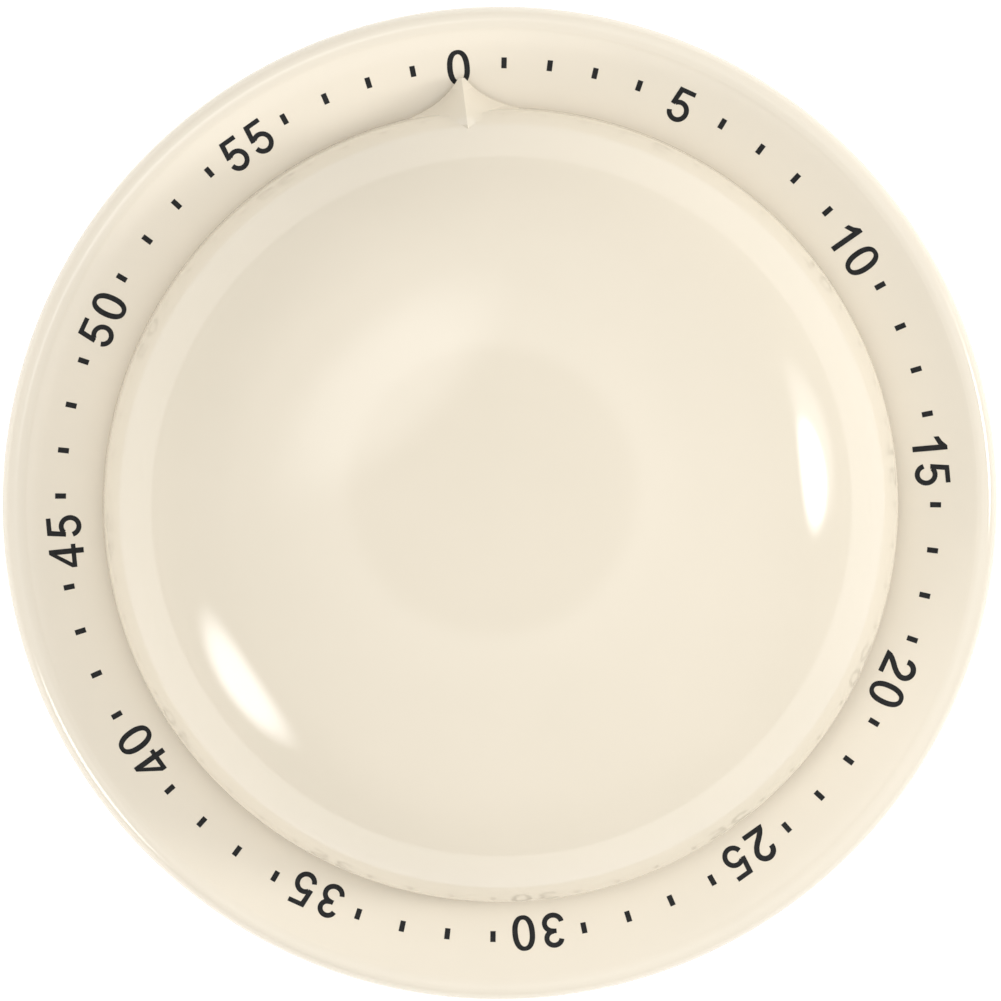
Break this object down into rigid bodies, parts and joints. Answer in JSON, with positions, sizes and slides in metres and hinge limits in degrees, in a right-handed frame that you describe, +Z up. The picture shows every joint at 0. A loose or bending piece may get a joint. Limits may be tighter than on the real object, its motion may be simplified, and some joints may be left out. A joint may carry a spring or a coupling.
{
  "type": "kitchen timer",
  "caption": "Round wind-up kitchen timer: a glossy domed knob with a pointed nib turns over a dished dial of minutes, with a clockwork movement and bell inside.",
  "frame": {"origin": "centre of the underside of the foot ring, on the knob's axis", "axes": "+Z is up out of the dial along the knob's axis, +Y points to the dial's zero, +X to its right"},
  "size_m": [0.08, 0.08, 0.0389],
  "materials": {
    "cream_gloss": "glossy cream moulding",
    "rubber": "matt soft rubber",
    "brass": "rolled and stamped brass",
    "spring_steel": "blued spring steel",
    "bell_metal": "nickel-plated pressing",
    "steel": "turned and zinc-plated steel"
  },
  "bodies": {
    "case": {"front_shell": "cream_gloss", "rear_shell": "cream_gloss", "foot_ring": "rubber", "case_screw_1": "steel", "case_screw_2": "steel", "case_screw_3": "steel", "front_plate": "brass", "rear_plate": "brass", "pillar_1": "brass", "pillar_2": "brass", "pillar_3": "brass", "pillar_4": "brass", "plate_screw_1": "steel", "plate_screw_2": "steel", "plate_screw_3": "steel", "plate_screw_4": "steel", "movement_screw_1": "steel", "movement_screw_2": "steel", "movement_screw_3": "steel", "mainspring": "spring_steel", "spring_post": "steel", "stop_pin": "steel", "release_stud": "steel", "bell": "bell_metal", "bell_post": "steel", "bell_screw": "steel"},
    "knob": {"knob_shell": "cream_gloss", "knob_hub": "cream_gloss", "hub_washer": "steel", "main_arbor": "steel", "great_wheel": "brass", "clutch_collar": "steel", "clutch_spring": "spring_steel", "release_cam": "steel", "stop_tab": "steel"},
    "second_shaft": {"second_arbor": "steel", "second_wheel": "brass", "strike_wheel": "steel"},
    "third_shaft": {"third_arbor": "steel", "third_wheel": "brass"},
    "escape_shaft": {"escape_arbor": "steel", "escape_wheel": "brass"},
    "balance": {"pallet_arbor": "steel", "pallet_lever": "steel", "balance_wheel": "brass"},
    "hammer": {"hammer_arbor": "steel", "hammer_arm": "spring_steel", "hammer_head": "brass", "hammer_tail": "steel", "hammer_catch": "steel"},
    "release": {"release_lever": "steel"}
  },
  "joints": [
    {"name": "knob_turn", "type": "hinge", "parent": "case", "child": "knob", "pos_m": [0, 0, 0.03], "axis": [0, 0, 1], "range_deg": [-354, 0], "stiffness_Nm_per_rad": 0.004},
    {"name": "second_shaft_turn", "type": "hinge", "parent": "case", "child": "second_shaft", "pos_m": [0, 0.0175, 0.0164], "axis": [0, 0, 1], "range_deg": [0, 2124]},
    {"name": "third_shaft_turn", "type": "hinge", "parent": "case", "child": "third_shaft", "pos_m": [0.0117, 0.01484, 0.01885], "axis": [0, 0, 1], "range_deg": [-10620, 0]},
    {"name": "escape_shaft_turn", "type": "hinge", "parent": "case", "child": "escape_shaft", "pos_m": [0.01723, 0.00675, 0.02105], "axis": [0, 0, 1], "range_deg": [0, 63720]},
    {"name": "balance_rock", "type": "hinge", "parent": "case", "child": "balance", "pos_m": [0.01895, 0.00135, 0.0165], "axis": [0, 0, 1], "range_deg": [-7.5, 7.5]},
    {"name": "hammer_swing", "type": "hinge", "parent": "case", "child": "hammer", "pos_m": [-0.01202, 0.01202, 0.01], "axis": [0, 0, 1], "range_deg": [-4, 4], "stiffness_Nm_per_rad": 0.001},
    {"name": "release_lever_swing", "type": "hinge", "parent": "case", "child": "release", "pos_m": [-0.0175, -0.002, 0.0161], "axis": [0, 0, 1], "range_deg": [0, 4]}
  ],
  "couplings": [
    {"joint": "second_shaft_turn", "follows": "knob_turn", "ratio": -6},
    {"joint": "third_shaft_turn", "follows": "knob_turn", "ratio": 30},
    {"joint": "escape_shaft_turn", "follows": "knob_turn", "ratio": -180}
  ]
}
